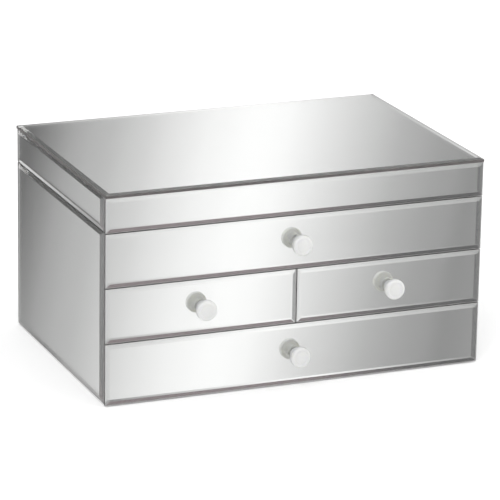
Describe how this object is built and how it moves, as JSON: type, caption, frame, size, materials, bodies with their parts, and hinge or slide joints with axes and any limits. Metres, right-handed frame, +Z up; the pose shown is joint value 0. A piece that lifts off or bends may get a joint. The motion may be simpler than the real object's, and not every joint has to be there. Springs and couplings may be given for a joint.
{
  "type": "mirrored jewellery box",
  "caption": "Mirror-clad jewellery box: hinged lid with an inner mirror over a lined tray with ring rolls, and drawers with glass knobs in rows below.",
  "frame": {"origin": "middle of the flat felt face that the box rests on, midway between the side mirrors and between the front mirrors and the back board", "axes": "+Z up, -Y out of the drawer fronts, +X to the right of someone who faces the drawer fronts"},
  "size_m": [0.32, 0.2337, 0.1723],
  "materials": {
    "mirror_glass": "bevelled silvered glass",
    "black_board": "satin black lacquer on fibreboard",
    "velvet": "short-pile black velvet",
    "felt": "black felt",
    "clear_bumper": "clear polyurethane",
    "nickel": "brushed nickel plate",
    "screw_steel": "zinc plated steel",
    "knob_glass": "polished clear glass, faintly green"
  },
  "bodies": {
    "case": {"base_felt": "felt", "base_board": "black_board", "side_boards": "black_board", "back_board": "black_board", "shelves": "black_board", "middle_upright": "black_board", "tray_floor": "black_board", "tray_front_rail": "black_board", "side_mirrors": "mirror_glass", "lid_bumpers": "clear_bumper", "tray_lining": "velvet", "tray_dividers": "velvet", "ring_rolls": "velvet", "hinge_leaves_case": "nickel", "hinge_pins": "nickel", "hinge_screws_case": "nickel"},
    "lid": {"lid_board": "black_board", "lid_rail_front": "black_board", "lid_rail_back": "black_board", "lid_rails_side": "black_board", "lid_top_mirror": "mirror_glass", "lid_front_mirror": "mirror_glass", "lid_side_mirrors": "mirror_glass", "lid_lining": "velvet", "vanity_mirror": "mirror_glass", "hinge_leaves_lid": "nickel", "hinge_screws_lid": "nickel"},
    "drawer_top": {"drawer_top_mirror": "mirror_glass", "drawer_top_front": "black_board", "drawer_top_sides": "black_board", "drawer_top_back": "black_board", "drawer_top_bottom": "black_board", "drawer_top_lining": "velvet", "drawer_top_knob": "knob_glass", "drawer_top_screw": "screw_steel"},
    "drawer_left": {"drawer_left_mirror": "mirror_glass", "drawer_left_front": "black_board", "drawer_left_sides": "black_board", "drawer_left_back": "black_board", "drawer_left_bottom": "black_board", "drawer_left_lining": "velvet", "drawer_left_knob": "knob_glass", "drawer_left_screw": "screw_steel"},
    "drawer_right": {"drawer_right_mirror": "mirror_glass", "drawer_right_front": "black_board", "drawer_right_sides": "black_board", "drawer_right_back": "black_board", "drawer_right_bottom": "black_board", "drawer_right_lining": "velvet", "drawer_right_knob": "knob_glass", "drawer_right_screw": "screw_steel"},
    "drawer_base": {"drawer_base_mirror": "mirror_glass", "drawer_base_front": "black_board", "drawer_base_sides": "black_board", "drawer_base_back": "black_board", "drawer_base_bottom": "black_board", "drawer_base_lining": "velvet", "drawer_base_knob": "knob_glass", "drawer_base_screw": "screw_steel"}
  },
  "joints": [
    {"name": "lid_hinge", "type": "hinge", "parent": "case", "child": "lid", "pos_m": [0, 0.11095, 0.1407], "axis": [-1, 0, 0], "range_deg": [0, 95]},
    {"name": "drawer_top_slide", "type": "slide", "parent": "case", "child": "drawer_top", "axis": [0, -1, 0], "range_m": [0, 0.14]},
    {"name": "drawer_left_slide", "type": "slide", "parent": "case", "child": "drawer_left", "axis": [0, -1, 0], "range_m": [0, 0.14]},
    {"name": "drawer_right_slide", "type": "slide", "parent": "case", "child": "drawer_right", "axis": [0, -1, 0], "range_m": [0, 0.14]},
    {"name": "drawer_base_slide", "type": "slide", "parent": "case", "child": "drawer_base", "axis": [0, -1, 0], "range_m": [0, 0.14]}
  ]
}
